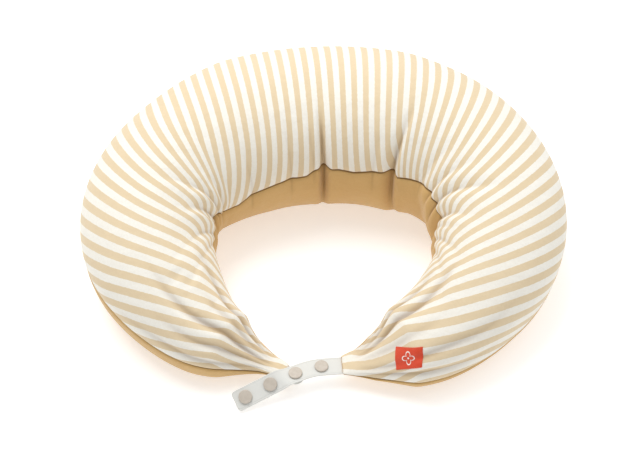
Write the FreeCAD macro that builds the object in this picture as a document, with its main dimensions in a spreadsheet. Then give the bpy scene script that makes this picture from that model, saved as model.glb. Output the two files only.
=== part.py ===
import FreeCAD, Part
import math
import os

import Sketcher
from FreeCAD import Placement, Rotation, Vector

# A ring-shaped nursing pillow: a stuffed crescent tube whose two tapered tails are held together
# by a strap with snaps. Millimetres and degrees. The part stands on z = 0, its back is towards +Y
# and the strap is at the front. "Left" is -X and "right" is +X.

SIZES = [
    # Centre line of the tube, seen from above: three tangent arcs on each side of the back centre.
    ("ring_shift_x", 3.5),
    ("back_centre_y", 137.2),
    ("back_radius", 267.0),
    ("left_back_angle", 42.0),
    ("left_side_radius", 129.0),
    ("left_side_angle", 75.4),
    ("left_tail_radius", 231.0),
    ("left_tail_angle", 47.6),
    ("right_back_angle", 30.5),
    ("right_side_radius", 150.0),
    ("right_side_angle", 106.5),
    ("right_tail_radius", 235.6),
    ("right_tail_angle", 43.0),
    # Girth of the tube at the back, and how it tapers towards the tails.
    ("half_width", 104.5),
    ("crown_height", 91.5),
    ("belly_height", 105.0),
    ("belly_squareness", 2.87),
    ("floor_press", 2.0),
    ("taper_start", 98.0),
    ("left_shoulder", 1.2),
    ("right_shoulder", 1.2),
    ("left_bluntness", 0.67),
    ("right_bluntness", 0.61),
    ("tip_half_width", 12.0),
    ("tip_half_height", 4.0),
    ("nip_length", 70.0),
    ("nip_sharpness", 1.3),
    ("lift_length", 125.0),
    ("left_tail_bend", 8.0),
    ("right_tail_bend", 2.0),
    ("tail_bend_length", 100.0),
    # Cloth layers.
    ("cover_wall", 1.2),
    ("seam_gap", 0.1),
    ("cover_slack", 4.5),
    ("casing_wall", 0.8),
    ("casing_tip_gap", 24.0),
    ("fill_gap", 0.3),
    ("gather_length", 10.0),
    # Zip in the outer back seam.
    ("zip_length", 250.0),
    ("zip_window_half", 3.6),
    ("zip_tape_height", 12.5),
    ("zip_tape_wall", 0.8),
    ("zip_tape_split", 1.6),
    ("zip_tape_over", 8.0),
    ("zip_clearance", 0.3),
    ("coil_wall", 1.8),
    ("coil_split", 0.6),
    ("coil_height", 2.3),
    ("stop_length", 1.6),
    ("slider_length", 9.5),
    ("slider_half_height", 3.2),
    ("slider_plate", 1.5),
    ("slider_bridge", 0.6),
    ("slider_ear_share", 0.7),
    ("pull_pin_radius", 0.8),
    ("pull_eye_radius", 1.7),
    ("pull_neck_start", 1.36),
    ("pull_blade_start", 3.2),
    ("pull_length", 24.0),
    ("pull_height", 4.6),
    ("pull_eye_share", 0.6),
    ("pull_wall", 1.2),
    # Closing strap and tab.
    ("strap_width", 23.0),
    ("tab_width", 20.0),
    ("tape_wall", 1.5),
    ("strap_level", 23.0),
    ("strap_bend_start", 15.0),
    ("strap_bend_length", 35.0),
    ("strap_heading", 19.0),
    ("strap_drop_start", 61.8),
    ("strap_drop_length", 15.4),
    ("strap_drop", 13.0),
    ("strap_roll", 28.0),
    ("strap_end_corner", 4.0),
    ("root_depth", 12.0),
    ("root_stub", 2.0),
    ("root_clearance", 0.1),
    ("hinge_gap", 1.1),
    # Snaps.
    ("snap_count", 4.0),
    ("first_snap", 23.0),
    ("snap_pitch", 31.0),
    ("last_snap_margin", 13.0),
    ("closed_snap", 2.0),
    ("snap_cap_radius", 7.75),
    ("snap_cap_height", 1.7),
    ("snap_cap_round", 0.9),
    ("snap_base_radius", 5.75),
    ("snap_base_wall", 0.9),
    ("socket_height", 3.0),
    ("socket_bore_radius", 3.3),
    ("stud_radius", 2.8),
    ("stud_height", 1.6),
    ("prong_radius", 1.2),
    ("prong_clearance", 0.05),
    ("snap_gap", 0.3),
    # Label on the right tail.
    ("label_length", 33.0),
    ("label_height", 16.0),
    ("label_wall", 0.8),
    ("label_gap", 0.2),
    ("label_run", 66.0),
    ("label_offset", 30.0),
    ("label_turn", -30.0),
]

# How finely the curved skins and the strap are drawn, and how far cutting tools reach past.
STATIONS = 18
STATION_POWER = 1.4
CURVE_STEPS = 14
STRAP_STEPS = 12
PATH_STEP = 0.5
TOOL_REACH = 5.0


def fill_sheet(doc):
    """Write every driving size into the spreadsheet, one named cell each."""
    sheet = doc.addObject("Spreadsheet::Sheet", "sizes")
    for row, (name, value) in enumerate(SIZES, start=1):
        sheet.set(f"A{row}", name)
        sheet.set(f"B{row}", str(value))
        sheet.setAlias(f"B{row}", name)
    doc.recompute()
    return sheet


document = FreeCAD.newDocument("nursing_pillow")
sheet = fill_sheet(document)
subparts = []


def size(name):
    """A driving size, read back from the spreadsheet."""
    return float(sheet.get(name))


def smooth(share):
    """An S-shaped step from 0 to 1 with level ends."""
    share = min(max(share, 0.0), 1.0)
    return share * share * (3 - 2 * share)


def shape_part(label, shape):
    """Put a finished shape, which is already in its place, into the document as a sub-part."""
    part = document.addObject("Part::Feature", label)
    part.Label = label
    part.Shape = shape
    subparts.append(part)
    return part


# ---------------------------------------------------------------- the tube's centre line and girth


class Arm:
    """One half of the ring, followed from the back centre to the tip of its tail."""

    def __init__(self, side):
        self.side = side
        self.sign = 1 if side == "right" else -1
        self.arcs = [
            (size("back_radius"), math.radians(size(side + "_back_angle"))),
            (size(side + "_side_radius"), math.radians(size(side + "_side_angle"))),
            (size(side + "_tail_radius"), math.radians(size(side + "_tail_angle"))),
        ]
        self.length = sum(radius * angle for radius, angle in self.arcs)

    def at(self, run):
        """Centre, outward direction and forward direction after a run along the centre line."""
        start = run
        x = 0.0
        y = size("back_centre_y")
        turn = 0.0
        for radius, angle in self.arcs:
            step = min(max(run, 0.0) / radius, angle)
            x += radius * (math.sin(turn + step) - math.sin(turn))
            y += radius * (math.cos(turn + step) - math.cos(turn))
            turn += step
            run -= radius * angle
        centre = Vector(size("ring_shift_x") + self.sign * x, y, 0)
        outward = Vector(self.sign * math.sin(turn), math.cos(turn), 0)
        forward = Vector(self.sign * math.cos(turn), -math.sin(turn), 0)
        return centre - outward * self.bend(start), outward, forward

    def bend(self, run):
        """How far the pulled tail leans inward: nothing at its tip, most a third of the way in."""
        back = (self.length - run) / size("tail_bend_length")
        back = min(max(back, 0.0), 1.0)
        most = 4 / 27
        return size(self.side + "_tail_bend") * back * (1 - back) ** 2 / most

    def girth(self, run):
        """Half width, crown height and belly height of the tube after a run."""
        share = (run - size("taper_start")) / (self.length - size("taper_start"))
        share = min(max(share, 0.0), 1.0)
        fullness = (1 - share ** size(self.side + "_shoulder")) ** size(self.side + "_bluntness")
        nip = min(max((self.length - run) / size("nip_length"), 0.0), 1.0)
        fullness *= nip ** size("nip_sharpness")
        half = size("tip_half_width")
        half += (size("half_width") - half) * fullness
        tip = size("tip_half_height")
        crown = tip + (size("crown_height") - tip) * fullness
        belly = tip + (size("belly_height") - tip) * fullness
        return half, crown, belly, fullness

    def seam_level(self, run):
        """Height of the seam above the floor: the tail's tip is lifted to meet the strap."""
        half, crown, belly, fullness = self.girth(run)
        tip_level = strap_level() if self.side == "right" else tab_level()
        lift = tip_level - size("tip_half_height")
        start = self.length - size("lift_length")
        return belly + lift * smooth((run - start) / size("lift_length"))

    def tip(self):
        """Middle of the tail's end."""
        centre, outward, forward = self.at(self.length)
        centre.z = self.seam_level(self.length)
        return centre, outward, forward


def strap_level():
    """Height of the strap's mid-plane where it leaves the right tail."""
    return size("strap_level")


def tab_level():
    """Height of the tab's mid-plane: one closed snap below the strap."""
    stack = size("tape_wall") + size("socket_height") + size("snap_gap") + size("snap_base_wall")
    return size("strap_level") - stack


LEFT = Arm("left")
RIGHT = Arm("right")


def stations(end_gap):
    """Arm and run of every section, from the left tail round the back to the right tail."""
    runs = []
    for arm in (LEFT, RIGHT):
        reach = arm.length - end_gap
        steps = [1 - (1 - i / STATIONS) ** STATION_POWER for i in range(STATIONS + 1)]
        runs.append([(arm, reach * step) for step in steps])
    return runs[0][::-1] + runs[1][1:]


# ---------------------------------------------------------------- surfaces of the tube


def section_point(arm, run, offset, height):
    """A point of the section, from its offset outward and its height above the floor."""
    centre, outward, forward = arm.at(run)
    point = centre + outward * offset
    point.z = height
    return point


def crown_points(arm, run, inset):
    """Upper half of a section, from the outer seam over the top to the inner seam."""
    half, crown, belly, fullness = arm.girth(run)
    level = arm.seam_level(run)
    points = []
    for i in range(CURVE_STEPS + 1):
        turn = math.pi * i / CURVE_STEPS
        height = level + (crown - inset) * math.sin(turn)
        points.append(section_point(arm, run, (half - inset) * math.cos(turn), height))
    return points


def belly_points(arm, run, inset, drop=0.0):
    """Lower half of a section, from the outer seam under the tube to the inner seam."""
    half, crown, belly, fullness = arm.girth(run)
    level = arm.seam_level(run) - drop
    press = size("floor_press") * fullness if inset == 0 else 0.0
    depth = belly + press - inset - drop
    power = 2 / size("belly_squareness")
    points = []
    for i in range(CURVE_STEPS + 1):
        turn = math.pi * i / CURVE_STEPS
        across = math.copysign(abs(math.cos(turn)) ** power, math.cos(turn))
        if i * 2 == CURVE_STEPS:
            across = 0.0
        height = level - depth * abs(math.sin(turn)) ** power
        points.append(section_point(arm, run, (half - inset) * across, height))
    return points


def wall_at(arm, run):
    """Thickness of the cover: one cloth, and a gathered, nearly solid end at each tail."""
    wall = size("cover_wall")
    gathered = size("tip_half_height") - size("tape_wall") / 2
    start = arm.length - size("gather_length")
    return wall + (gathered - wall) * smooth((run - start) / size("gather_length"))


def skin(rows):
    """A smooth face through rows of points."""
    surface = Part.BSplineSurface()
    surface.interpolate(rows)
    return surface.toShape()


def borders(face, rows):
    """The face's four edges: first ends, last ends, first row and last row."""
    corners = [
        (rows[0][0], rows[-1][0]), (rows[0][-1], rows[-1][-1]),
        (rows[0][0], rows[0][-1]), (rows[-1][0], rows[-1][-1]),
    ]
    return [next(edge for edge in face.Edges if joins(edge, *pair)) for pair in corners]


def joins(edge, start, end):
    """Whether an edge runs between two points, either way round."""
    first, last = edge.firstVertex().Point, edge.lastVertex().Point
    straight = (first - start).Length + (last - end).Length
    turned = (first - end).Length + (last - start).Length
    return min(straight, turned) < 1e-3


def solid_between(first_rows, second_rows):
    """Closed solid between two skins, joined by ruled faces along their borders."""
    first, second = skin(first_rows), skin(second_rows)
    faces = [first, second]
    for a, b in zip(borders(first, first_rows), borders(second, second_rows)):
        faces.append(Part.makeRuledSurface(a, b))
    return closed_solid(faces)


def closed_solid(faces):
    """Sew faces that close a volume into a solid whose faces point outwards."""
    shell = Part.makeShell(faces)
    shell.sewShape()
    solid = Part.makeSolid(shell)
    if solid.Volume < 0:
        solid.reverse()
    return solid


def crown_shell():
    """Upper half of the cover, one cloth thick."""
    places = stations(0.0)
    outer = [crown_points(arm, run, 0.0) for arm, run in places]
    inner = [crown_points(arm, run, wall_at(arm, run)) for arm, run in places]
    return solid_between(outer, inner)


def belly_shell():
    """Lower half of the cover, one cloth thick, pressed flat where it lies on the floor."""
    gap = size("seam_gap")
    places = stations(0.0)
    outer = [belly_points(arm, run, 0.0, gap) for arm, run in places]
    inner = [belly_points(arm, run, wall_at(arm, run), gap) for arm, run in places]
    return above(solid_between(outer, inner), 0.0)


def crown_layer(gap, thickness):
    """A layer of cloth that lies on the upper half of the cover."""
    places = stations(0.0)
    outer = [crown_points(arm, run, -gap - thickness) for arm, run in places]
    inner = [crown_points(arm, run, -gap) for arm, run in places]
    return solid_between(outer, inner)


def tube(inset, end_gap):
    """Solid of the whole tube: one skin round it and a flat cap at each end."""
    rows = []
    for arm, run in stations(end_gap):
        under = belly_points(arm, run, inset)[::-1]
        rows.append(crown_points(arm, run, inset) + under[1:])
    side = skin(rows)
    rings = [edge for edge in side.Edges if joins(edge, rows[0][0], rows[0][0])]
    rings += [edge for edge in side.Edges if joins(edge, rows[-1][0], rows[-1][0])]
    caps = [Part.Face(Part.Wire([ring])) for ring in rings]
    return closed_solid([side] + caps)


def above(shape, level):
    """What is left of a shape above a level."""
    reach = 2000.0
    block = Part.makeBox(reach, reach, reach, Vector(-reach / 2, -reach / 2, level - reach))
    return shape.cut(block)


# ---------------------------------------------------------------- the zip's place


def zip_radius():
    """Radius of the outer back seam about the centre of the back arc."""
    return size("back_radius") + size("half_width")


def zip_centre():
    """Centre of the back arc, at the height of the seam."""
    y = size("back_centre_y") - size("back_radius")
    return Vector(size("ring_shift_x"), y, size("belly_height"))


def arc_angle(length):
    """Angle in degrees that a length along the seam takes."""
    return math.degrees(length / zip_radius())


def zip_window():
    """The slot that the zip leaves between the two cover panels."""
    angle = arc_angle(size("zip_length"))
    low = Vector(0, 0, -size("zip_window_half"))
    height = 2 * size("zip_window_half")
    outer = Part.makeCylinder(zip_radius() + TOOL_REACH, height, low, Vector(0, 0, 1), angle)
    inner = Part.makeCylinder(zip_radius() - 2 * TOOL_REACH, height, low, Vector(0, 0, 1), angle)
    sector = outer.cut(inner)
    sector.Placement = Placement(zip_centre(), Rotation(Vector(0, 0, 1), 90 - angle / 2))
    return sector


# ---------------------------------------------------------------- the strap's path


def strap_length():
    """Length of the strap from the tail's tip to its free end."""
    last = size("first_snap") + (size("snap_count") - 1) * size("snap_pitch")
    return last + size("last_snap_margin")


def strap_frame(distance):
    """Middle of the strap, and its three directions, at a distance from the tail's tip."""
    point, outward, forward = RIGHT.tip()
    base = math.atan2(forward.y, forward.x)
    steps = max(1, math.ceil(distance / PATH_STEP))
    length = distance / steps
    for i in range(steps):
        along = strap_direction(base, (i + 0.5) * length)
        point = point + along * length
    along = strap_direction(base, distance)
    level_across = Vector(0, 0, 1).cross(along).normalize()
    drop = size("strap_drop_start")
    roll = size("strap_roll") * smooth((distance - drop) / size("strap_drop_length"))
    across = Rotation(along, -roll).multVec(level_across)
    return point, along, across, along.cross(across)


def strap_direction(base, distance):
    """Direction in which the strap runs at a distance from the tail's tip."""
    bend = smooth((distance - size("strap_bend_start")) / size("strap_bend_length"))
    fall = smooth((distance - size("strap_drop_start")) / size("strap_drop_length"))
    heading = base + math.radians(size("strap_heading")) * bend
    pitch = math.radians(size("strap_drop")) * fall
    level = math.cos(pitch)
    return Vector(level * math.cos(heading), level * math.sin(heading), -math.sin(pitch))


def snap_distance(number):
    """Distance of a snap from the tail's tip."""
    return size("first_snap") + (number - 1) * size("snap_pitch")


def closed_snap_place():
    """Where the closed snap's axis meets the strap's mid-plane."""
    return strap_frame(snap_distance(int(size("closed_snap"))))[0]


def tab_heading():
    """Direction of the tab, from the left tail's tip to the closed snap."""
    tip, outward, forward = LEFT.tip()
    way = closed_snap_place() - tip
    way.z = 0
    return way.normalize()


def tab_reach():
    """Distance from the left tail's tip to the closed snap."""
    way = closed_snap_place() - LEFT.tip()[0]
    way.z = 0
    return way.Length


def snap_top(number):
    """Placement of a snap on the strap: origin in the middle of the strap, z out of its face."""
    point, along, across, normal = strap_frame(snap_distance(number))
    return Placement(point, Rotation(along, across, normal, "ZXY"))


def axis_cylinder(placement, radius, reach):
    """A cylinder through a placement's origin, along its z axis."""
    hole = Part.makeCylinder(radius, 2 * reach, Vector(0, 0, -reach))
    hole.Placement = placement
    return hole


# ---------------------------------------------------------------- cover, casing and filling


def root_box(tip, heading, width, clearance):
    """Box of a tape's sewn-in end, which goes into the tail and stands out by a short stub."""
    length = size("root_depth") + size("root_stub") + 2 * clearance
    thick = size("tape_wall") + 2 * clearance
    across = width + 2 * clearance
    corner = Vector(-size("root_depth") - clearance, -across / 2, -thick / 2)
    box = Part.makeBox(length, across, thick, corner)
    turn = math.degrees(math.atan2(heading.y, heading.x))
    box.Placement = Placement(tip, Rotation(Vector(0, 0, 1), turn))
    return box


def tail_slots():
    """Room in the cover for the sewn-in ends of the strap and the tab."""
    gap = size("root_clearance")
    right_tip, outward, right_way = RIGHT.tip()
    strap_slot = root_box(right_tip, right_way, size("strap_width"), gap)
    tab_slot = root_box(LEFT.tip()[0], tab_heading(), size("tab_width"), gap)
    return strap_slot, tab_slot


def make_cover():
    """The striped top panel and the plain bottom panel, which meet along the seam."""
    window = zip_window()
    strap_slot, tab_slot = tail_slots()
    for label, shell in (("cover_top", crown_shell()), ("cover_bottom", belly_shell())):
        shape_part(label, shell.cut(window).cut(strap_slot).cut(tab_slot))


def make_filling():
    """The sewn inner casing, and the fibre filling that it holds."""
    outer_inset = size("cover_wall") + size("cover_slack")
    inner_inset = outer_inset + size("casing_wall")
    end = size("casing_tip_gap")
    outer = tube(outer_inset, end)
    inner = tube(inner_inset, end + size("casing_wall"))
    shape_part("inner_casing", outer.cut(inner))
    fill_inset = inner_inset + size("fill_gap")
    shape_part("fibre_fill", tube(fill_inset, end + size("casing_wall") + size("fill_gap")))


def make_label():
    """The folded label, sewn flat on the front slope of the right tail."""
    run = RIGHT.length - size("label_run")
    centre, outward, forward = RIGHT.at(run)
    block = Part.makeBox(size("label_length"), size("label_height"), 2 * size("crown_height"),
                         Vector(-size("label_length") / 2, -size("label_height") / 2, 0))
    place = centre + outward * size("label_offset")
    place.z = RIGHT.seam_level(run)
    turn = math.degrees(math.atan2(forward.y, forward.x)) + size("label_turn")
    block.Placement = Placement(place, Rotation(Vector(0, 0, 1), turn))
    layer = crown_layer(size("label_gap"), size("label_wall"))
    shape_part("woven_label", block.common(layer))


# ---------------------------------------------------------------- sketch-based pieces


def origin_plane(body, role):
    """One of a body's own origin planes."""
    return next(item for item in body.Origin.OriginFeatures if item.Role == role)


def new_sketch(body, name, role):
    """A sketch on one of the body's origin planes."""
    sketch = body.newObject("Sketcher::SketchObject", name)
    sketch.AttachmentSupport = [(origin_plane(body, role), "")]
    sketch.MapMode = "FlatFace"
    return sketch


def draw_outline(sketch, corners):
    """Draw a closed outline whose corners are pairs of expressions of named sizes."""
    points = [Vector(evaluate(x), evaluate(y), 0) for x, y in corners]
    count = len(points)
    for i in range(count):
        sketch.addGeometry(Part.LineSegment(points[i], points[(i + 1) % count]), False)
    for i in range(count):
        sketch.addConstraint(Sketcher.Constraint("Coincident", i, 2, (i + 1) % count, 1))
    for i, corner in enumerate(corners):
        for axis, text in zip(("DistanceX", "DistanceY"), corner):
            value = evaluate(text)
            index = sketch.addConstraint(Sketcher.Constraint(axis, -1, 1, i, 1, value))
            sketch.setExpression(f"Constraints[{index}]", text)


def evaluate(text):
    """Value of an expression of named sizes."""
    return float(sheet.evalExpression(text.replace("sizes.", "")))


def new_body(label):
    """A PartDesign body that becomes a sub-part."""
    body = document.addObject("PartDesign::Body", label)
    body.Label = label
    subparts.append(body)
    return body


def revolve(body, sketch, angle):
    """Revolve a sketch about its own upright axis, evenly to both sides."""
    feature = body.newObject("PartDesign::Revolution", body.Label + "_turn")
    feature.Profile = sketch
    feature.ReferenceAxis = (sketch, ["V_Axis"])
    feature.Midplane = True
    if isinstance(angle, str):
        feature.setExpression("Angle", angle)
    else:
        feature.Angle = angle
    return feature


SEAM_R = "(sizes.back_radius + sizes.half_width)"
INSIDE_R = (
    "(sizes.back_radius + (sizes.half_width - sizes.cover_wall) * sqrt(1 - "
    "((sizes.zip_tape_split + sizes.zip_tape_height) / (sizes.crown_height - sizes.cover_wall)) ^ 2))"
)
TAPE_R = f"({INSIDE_R} - sizes.zip_clearance)"
COIL_R = f"({TAPE_R} + sizes.coil_wall)"
PER_LENGTH = f"* 180 / pi / {SEAM_R}"
FRONT_IN = f"({COIL_R} + sizes.zip_clearance)"
FRONT_OUT = f"({FRONT_IN} + sizes.slider_plate)"
PIN_R = f"({FRONT_OUT} + sizes.pull_eye_radius + sizes.zip_clearance)"
EYE_HEIGHT = "sizes.pull_height * sizes.pull_eye_share"
PRONG_HOLE = "(sizes.prong_radius + sizes.prong_clearance)"


# ---------------------------------------------------------------- zip


def zip_band(label, inner, outer, low, high, length, middle=0.0):
    """A band that follows the back arc: its radii, heights and length are expressions."""
    body = new_body(label)
    sketch = new_sketch(body, label + "_section", "XZ_Plane")
    draw_outline(sketch, [(inner, low), (outer, low), (outer, high), (inner, high)])
    body.Tip = revolve(body, sketch, f"({length}) {PER_LENGTH}")
    place_on_zip(body, middle)
    return body


def place_on_zip(body, middle):
    """Turn a band about the centre of the back arc; middle is its angle left of the back."""
    body.Placement = Placement(zip_centre(), Rotation(Vector(0, 0, 1), 90 + middle))


def make_zip_tapes():
    """The two tapes, sewn to the edges of the cover panels, and the coil on each."""
    tape = "sizes.zip_length + 2 * sizes.zip_tape_over"
    coil = "sizes.zip_length - 2 * sizes.stop_length"
    split = "sizes.zip_tape_split"
    reach = "(sizes.zip_tape_split + sizes.zip_tape_height)"
    coil_reach = "(sizes.coil_split + sizes.coil_height)"
    tape_inner = f"{TAPE_R} - sizes.zip_tape_wall"
    zip_band("zip_tape_upper", tape_inner, TAPE_R, split, reach, tape)
    zip_band("zip_tape_lower", tape_inner, TAPE_R, f"-{reach}", f"-{split}", tape)
    zip_band("zip_coil_upper", TAPE_R, COIL_R, "sizes.coil_split", coil_reach, coil)
    zip_band("zip_coil_lower", TAPE_R, COIL_R, f"-{coil_reach}", "-sizes.coil_split", coil)
    middle = arc_angle((size("zip_length") - size("stop_length")) / 2)
    for label, turn in (("zip_top_stop", -middle), ("zip_bottom_stop", middle)):
        zip_band(label, TAPE_R, COIL_R, f"-{coil_reach}", coil_reach, "sizes.stop_length", turn)


def slider_angle():
    """Angle of the closed slider from the back, close to the top stop."""
    travel_end = size("zip_length") / 2 - size("stop_length") - size("zip_clearance")
    return -arc_angle(travel_end - size("slider_length") / 2)


def make_slider():
    """The slider: two curved plates joined by a bridge between the coils, and ears with a pin."""
    body = new_body("zip_slider")
    half = "sizes.slider_half_height"
    bridge = "sizes.slider_bridge / 2"
    back_out = f"({TAPE_R} - sizes.zip_tape_wall - sizes.zip_clearance)"
    back_in = f"({back_out} - sizes.slider_plate / 2)"
    rows = [
        (back_in, f"-{half}"), (back_out, f"-{half}"), (back_out, f"-{bridge}"),
        (FRONT_IN, f"-{bridge}"), (FRONT_IN, f"-{half}"), (FRONT_OUT, f"-{half}"),
        (FRONT_OUT, half), (FRONT_IN, half), (FRONT_IN, bridge),
        (back_out, bridge), (back_out, half), (back_in, half),
    ]
    section = new_sketch(body, "slider_section", "XZ_Plane")
    draw_outline(section, rows)
    body.Tip = revolve(body, section, f"sizes.slider_length {PER_LENGTH}")
    eye = "sizes.pull_eye_radius"
    sunk = f"({FRONT_OUT} - sizes.slider_plate / 2)"
    ears = new_sketch(body, "slider_ears_outline", "XY_Plane")
    out = f"({PIN_R} + {eye} * sizes.slider_ear_share)"
    draw_outline(ears, [(sunk, f"-{eye}"), (out, f"-{eye}"), (out, eye), (sunk, eye)])
    body.Tip = pad(body, ears, "slider_ears", "sizes.slider_half_height * 2")
    slot = new_sketch(body, "slider_slot_outline", "XY_Plane")
    far = f"({out} + {eye})"
    wide = f"({eye} * 2)"
    draw_outline(slot, [(FRONT_OUT, f"-{wide}"), (far, f"-{wide}"), (far, wide), (FRONT_OUT, wide)])
    body.Tip = pocket(body, slot, "slider_slot", f"{EYE_HEIGHT} + 2 * sizes.zip_clearance")
    hub = new_sketch(body, "slider_pin_outline", "XY_Plane")
    draw_circle(hub, PIN_R, "sizes.pull_pin_radius")
    body.Tip = pad(body, hub, "slider_pin", "sizes.slider_half_height * 2")
    place_on_zip(body, slider_angle())


def make_pull():
    """The pull tab: an eye round the slider's pin and a flat blade that lies along the zip."""
    body = new_body("zip_pull")
    eye = "sizes.pull_eye_radius"
    half = "sizes.pull_wall / 2"
    ring = new_sketch(body, "pull_eye_outline", "XY_Plane")
    draw_circle(ring, PIN_R, eye)
    draw_circle(ring, PIN_R, "(sizes.pull_pin_radius + sizes.zip_clearance / 2)")
    body.Tip = pad(body, ring, "pull_eye", EYE_HEIGHT)
    neck_start = "sizes.pull_neck_start"
    blade_start = "sizes.pull_blade_start"
    blade_end = "sizes.pull_length"
    neck = new_sketch(body, "pull_neck_outline", "XY_Plane")
    left = f"({PIN_R} - {half})"
    right = f"({PIN_R} + {half})"
    draw_outline(neck, [(left, neck_start), (right, neck_start), (right, blade_end), (left, blade_end)])
    body.Tip = pad(body, neck, "pull_neck", EYE_HEIGHT)
    blade = new_sketch(body, "pull_blade_outline", "XY_Plane")
    draw_outline(blade, [(left, blade_start), (right, blade_start), (right, blade_end), (left, blade_end)])
    body.Tip = pad(body, blade, "pull_blade", "sizes.pull_height")
    place_on_zip(body, slider_angle())


def draw_circle(sketch, x, radius):
    """Draw a circle whose centre lies on the sketch's x axis."""
    circle = Part.Circle(Vector(evaluate(x), 0, 0), Vector(0, 0, 1), evaluate(radius))
    index = sketch.addGeometry(circle, False)
    sketch.addConstraint(Sketcher.Constraint("PointOnObject", index, 3, -1))
    place = sketch.addConstraint(Sketcher.Constraint("DistanceX", -1, 1, index, 3, evaluate(x)))
    sketch.setExpression(f"Constraints[{place}]", x)
    girth = sketch.addConstraint(Sketcher.Constraint("Radius", index, evaluate(radius)))
    sketch.setExpression(f"Constraints[{girth}]", radius)


def pocket(body, sketch, name, length):
    """Cut a sketch away evenly to both sides."""
    document.recompute()
    feature = body.newObject("PartDesign::Pocket", name)
    feature.Profile = sketch
    feature.Midplane = True
    feature.setExpression("Length", length)
    return feature


def pad(body, sketch, name, length):
    """Pad a sketch evenly to both sides."""
    feature = body.newObject("PartDesign::Pad", name)
    feature.Profile = sketch
    feature.Midplane = True
    feature.setExpression("Length", length)
    return feature


# ---------------------------------------------------------------- snaps


def snap_body(label, rows, rounded, placement):
    """A turned snap piece: its half section is a list of radius and height expressions."""
    body = new_body(label)
    sketch = new_sketch(body, label + "_section", "XZ_Plane")
    draw_outline(sketch, rows)
    turned = revolve(body, sketch, 360.0)
    body.Tip = turned
    if rounded:
        document.recompute()
        top = max(vertex.Z for vertex in turned.Shape.Vertexes)
        rim = [f"Edge{i}" for i, edge in enumerate(turned.Shape.Edges, start=1) if is_rim(edge, top)]
        soft = body.newObject("PartDesign::Fillet", label + "_round")
        soft.Base = (turned, rim)
        soft.setExpression("Radius", "sizes.snap_cap_round")
        body.Tip = soft
    body.Placement = placement
    return body


def is_rim(edge, top):
    """Whether an edge is the full circle at the top of a cap."""
    circle = isinstance(edge.Curve, Part.Circle)
    return circle and abs(edge.Vertexes[0].Z - top) < 1e-6


def cap_rows(prong_reach):
    """Half section of a cap: a disc with a prong that goes through the tape."""
    prong, rim, top = "sizes.prong_radius", "sizes.snap_cap_radius", "sizes.snap_cap_height"
    foot = f"-({prong_reach})"
    return [("0", foot), (prong, foot), (prong, "0"), (rim, "0"), (rim, top), ("0", top)]


def socket_rows():
    """Half section of a socket, seated under the tape, with its mouth downwards."""
    hole = PRONG_HOLE
    rim = "sizes.snap_base_radius"
    bore = "sizes.socket_bore_radius"
    seat = "-sizes.tape_wall / 2"
    base = "(-sizes.tape_wall / 2 - sizes.snap_base_wall)"
    mouth = "(-sizes.tape_wall / 2 - sizes.socket_height)"
    return [(hole, base), (bore, base), (bore, mouth), (rim, mouth), (rim, seat), (hole, seat)]


def stud_rows():
    """Half section of the stud, seated on the tab, with its post upwards."""
    hole = PRONG_HOLE
    rim = "sizes.snap_base_radius"
    post = "sizes.stud_radius"
    seat = "sizes.tape_wall / 2"
    base = "(sizes.tape_wall / 2 + sizes.snap_base_wall)"
    top = "(sizes.tape_wall / 2 + sizes.snap_base_wall + sizes.stud_height)"
    return [(hole, seat), (rim, seat), (rim, base), (post, base), (post, top), (hole, top)]


def make_strap_snaps():
    """The caps on the strap and the sockets under it."""
    lift = Placement(Vector(0, 0, size("tape_wall") / 2), Rotation())
    for number in range(1, int(size("snap_count")) + 1):
        place = snap_top(number)
        reach = "sizes.tape_wall + sizes.snap_base_wall"
        snap_body(f"snap_cap_{number}", cap_rows(reach), True, place * lift)
        snap_body(f"snap_socket_{number}", socket_rows(), False, place)


def tab_snap_place():
    """Placement of the stud on the tab: origin in the middle of the tab, z upwards."""
    point = closed_snap_place()
    return Placement(Vector(point.x, point.y, tab_level()), Rotation())


def make_tab_snap():
    """The stud on the tab and the cap under it."""
    place = tab_snap_place()
    snap_body("tab_stud", stud_rows(), False, place)
    turned = Placement(Vector(0, 0, -size("tape_wall") / 2), Rotation(Vector(1, 0, 0), 180))
    reach = "sizes.tape_wall + sizes.snap_base_wall"
    snap_body("tab_stud_cap", cap_rows(reach), True, place * turned)


# ---------------------------------------------------------------- tapes


def hinge_distance():
    """Distance of a tape's bending line from the tip of its tail."""
    return size("root_stub") + size("hinge_gap")


def make_roots():
    """The sewn-in ends of the strap and the tab, inside the tips of the tails."""
    right_tip, outward, right_way = RIGHT.tip()
    shape_part("strap_root", root_box(right_tip, right_way, size("strap_width"), 0.0))
    shape_part("tab_root", root_box(LEFT.tip()[0], tab_heading(), size("tab_width"), 0.0))


def strap_section(distance):
    """Cross-section of the strap at a distance from the tail's tip."""
    point, along, across, normal = strap_frame(distance)
    side = across * (size("strap_width") / 2)
    face = normal * (size("tape_wall") / 2)
    corners = [point + side + face, point - side + face, point - side - face, point + side - face]
    return Part.makePolygon(corners + corners[:1])


def strap_stations():
    """Distances of the strap's sections: the level stretch, the twist and the free end."""
    twist = size("strap_drop_start")
    marks = [hinge_distance(), twist, twist + size("strap_drop_length"), strap_length()]
    distances = marks[:1]
    for start, end in zip(marks, marks[1:]):
        distances += [start + (end - start) * i / STRAP_STEPS for i in range(1, STRAP_STEPS + 1)]
    return distances


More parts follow.
